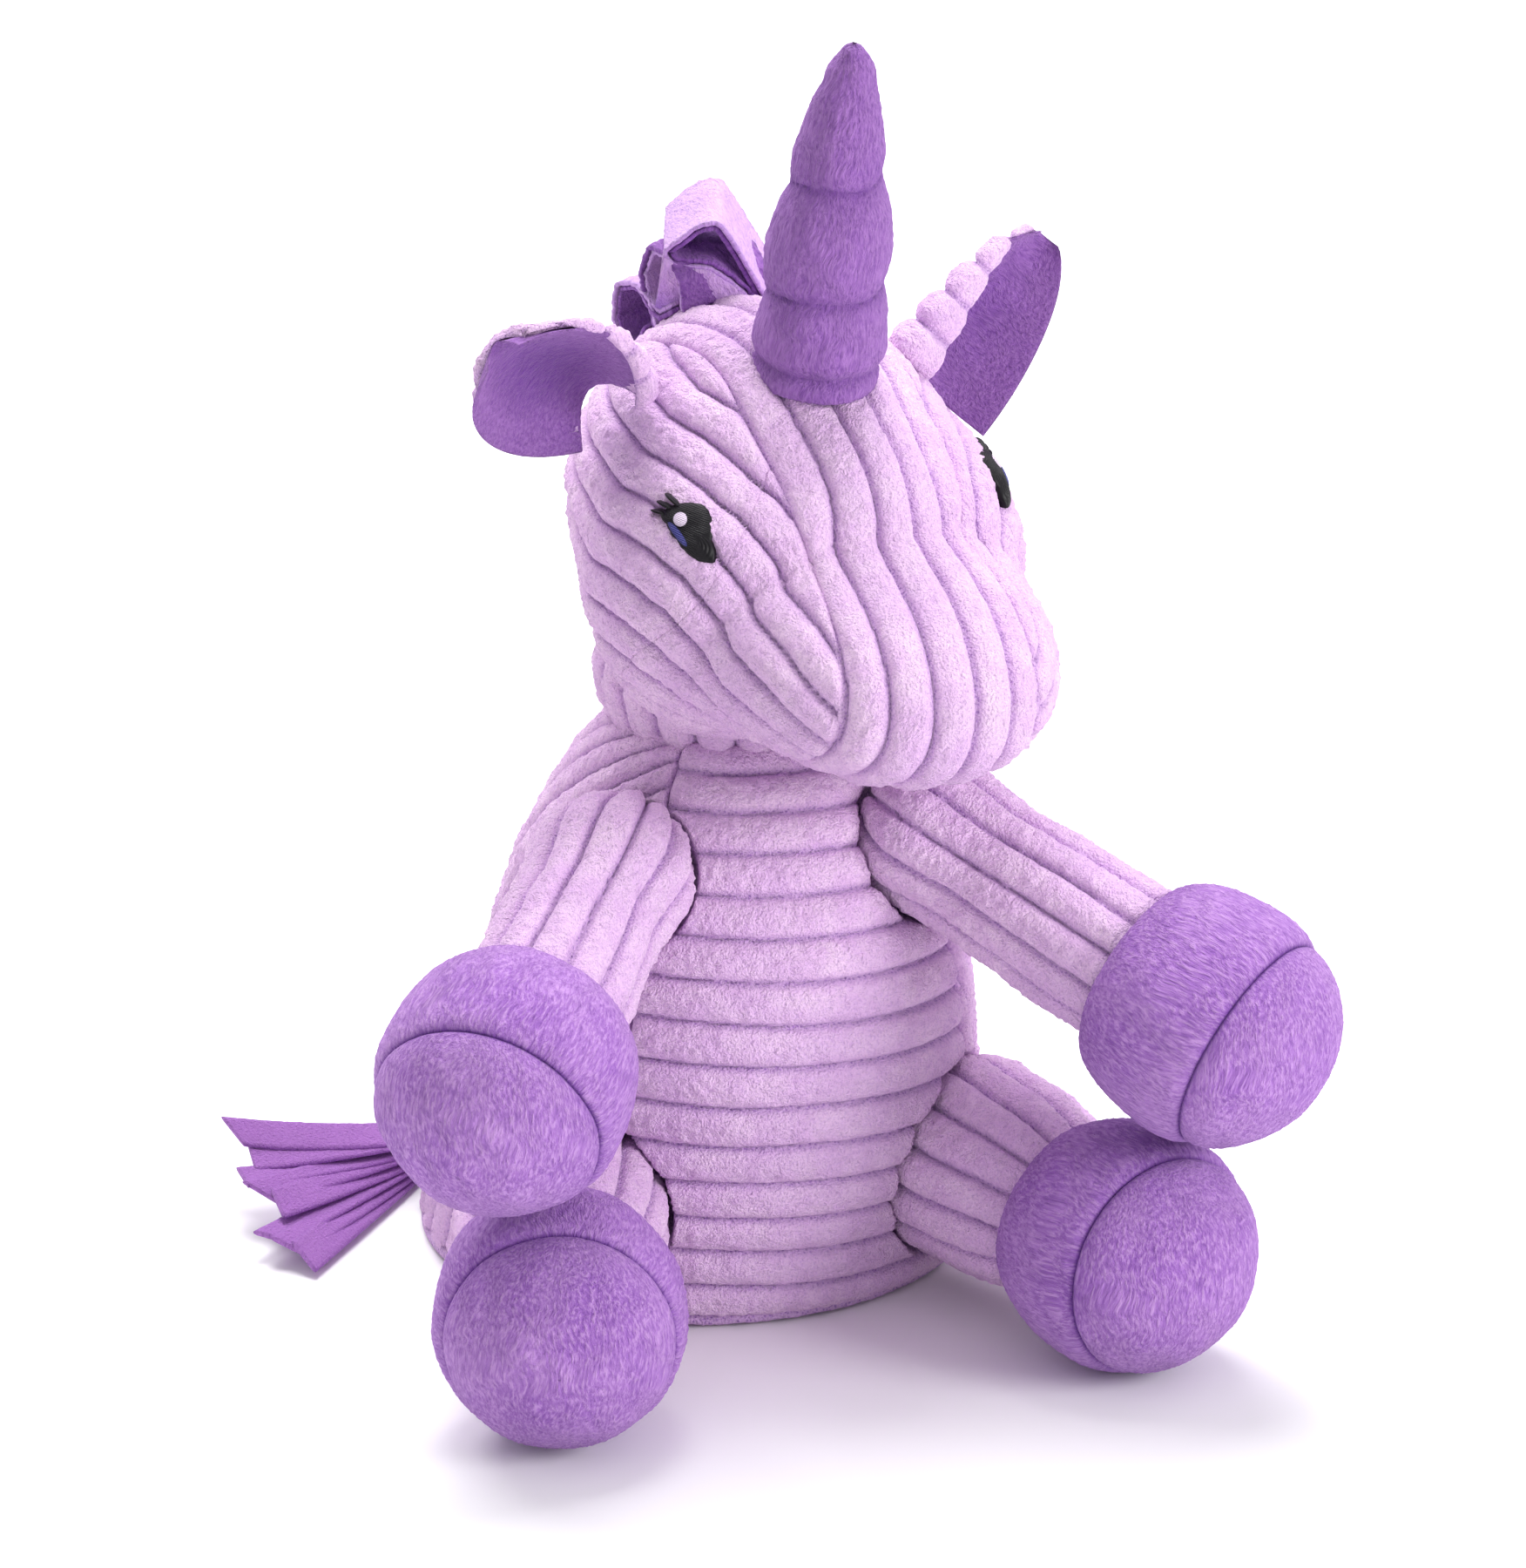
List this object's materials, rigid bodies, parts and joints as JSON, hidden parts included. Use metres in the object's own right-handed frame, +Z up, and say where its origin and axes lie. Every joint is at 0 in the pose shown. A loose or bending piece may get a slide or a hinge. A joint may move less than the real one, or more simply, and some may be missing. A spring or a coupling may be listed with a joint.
{
  "type": "plush unicorn",
  "caption": "Seated stuffed unicorn in wide-rib corduroy plush with a horn, cupped ears, mane, hooves and a fleece-strip tail; the head, limbs, ears and tail move.",
  "frame": {"origin": "centre of the flat round seat, on the surface it sits on", "axes": "+Z up, the toy faces -Y, +X is the toy's own left"},
  "size_m": [0.2369, 0.2404, 0.3241],
  "materials": {
    "corduroy_lilac": "matte",
    "plush_violet": "matte",
    "plush_plum": "matte",
    "fleece_violet": "matte",
    "embroidery": "satin",
    "thread": "satin",
    "polyester_fill": "matte",
    "bead_fill": "matte"
  },
  "bodies": {
    "torso": {"belly_panel": "corduroy_lilac", "back_panel_left": "corduroy_lilac", "back_panel_right": "corduroy_lilac", "base_panel": "corduroy_lilac", "torso_stuffing": "polyester_fill", "bead_bag": "bead_fill", "tail_tab": "fleece_violet"},
    "neck": {"neck_stuffing": "polyester_fill"},
    "head": {"head_gusset": "corduroy_lilac", "chin_panel": "corduroy_lilac", "cheek_panel_left": "corduroy_lilac", "cheek_panel_right": "corduroy_lilac", "muzzle_panel_left": "corduroy_lilac", "muzzle_panel_right": "corduroy_lilac", "head_stuffing": "polyester_fill", "eye_left": "embroidery", "eye_right": "embroidery", "mane_loops": "fleece_violet", "horn_cover": "plush_plum", "horn_stuffing": "polyester_fill", "horn_thread": "thread"},
    "ear_left": {"ear_left_back": "corduroy_lilac", "ear_left_lining": "plush_plum"},
    "ear_right": {"ear_right_back": "corduroy_lilac", "ear_right_lining": "plush_plum"},
    "arm_left": {"arm_left_sleeve": "corduroy_lilac", "arm_left_hoof": "plush_violet", "arm_left_sole": "plush_violet", "arm_left_stuffing": "polyester_fill"},
    "arm_right": {"arm_right_sleeve": "corduroy_lilac", "arm_right_hoof": "plush_violet", "arm_right_sole": "plush_violet", "arm_right_stuffing": "polyester_fill"},
    "leg_left": {"leg_left_sleeve": "corduroy_lilac", "leg_left_hoof": "plush_violet", "leg_left_sole": "plush_violet", "leg_left_stuffing": "polyester_fill"},
    "leg_right": {"leg_right_sleeve": "corduroy_lilac", "leg_right_hoof": "plush_violet", "leg_right_sole": "plush_violet", "leg_right_stuffing": "polyester_fill"},
    "tail": {"tail_strips": "fleece_violet"}
  },
  "joints": [
    {"name": "head_turn", "type": "hinge", "parent": "torso", "child": "neck", "pos_m": [0.004, -0.026, 0.153], "axis": [0, 0, 1], "range_deg": [-25, 25]},
    {"name": "head_lift", "type": "hinge", "parent": "neck", "child": "head", "pos_m": [0.004, -0.026, 0.153], "axis": [-0.9744, -0.225, 0], "range_deg": [0, 14]},
    {"name": "shoulder_left", "type": "hinge", "parent": "torso", "child": "arm_left", "pos_m": [0.042, -0.064, 0.122], "axis": [-0.7829, -0.6221, 0], "range_deg": [0, 45]},
    {"name": "shoulder_right", "type": "hinge", "parent": "torso", "child": "arm_right", "pos_m": [-0.042, -0.064, 0.122], "axis": [-0.7858, 0.6185, 0], "range_deg": [0, 45]},
    {"name": "hip_left", "type": "hinge", "parent": "torso", "child": "leg_left", "pos_m": [0.054, -0.061, 0.033], "axis": [0, 0, 1], "range_deg": [-10, 20]},
    {"name": "hip_right", "type": "hinge", "parent": "torso", "child": "leg_right", "pos_m": [-0.054, -0.061, 0.033], "axis": [0, 0, -1], "range_deg": [-10, 20]},
    {"name": "ear_left_flap", "type": "hinge", "parent": "head", "child": "ear_left", "pos_m": [0.05672, -0.01208, 0.22278], "axis": [0.2183, -0.9454, -0.2419], "range_deg": [-8, 8], "stiffness_Nm_per_rad": 0.02},
    {"name": "ear_right_flap", "type": "hinge", "parent": "head", "child": "ear_right", "pos_m": [-0.03157, -0.03507, 0.23256], "axis": [-0.2183, 0.9454, 0.2419], "range_deg": [-8, 8], "stiffness_Nm_per_rad": 0.02},
    {"name": "tail_swish", "type": "hinge", "parent": "torso", "child": "tail", "pos_m": [-0.009, 0.079, 0.008], "axis": [0, 0, -1], "range_deg": [0, 35]}
  ]
}
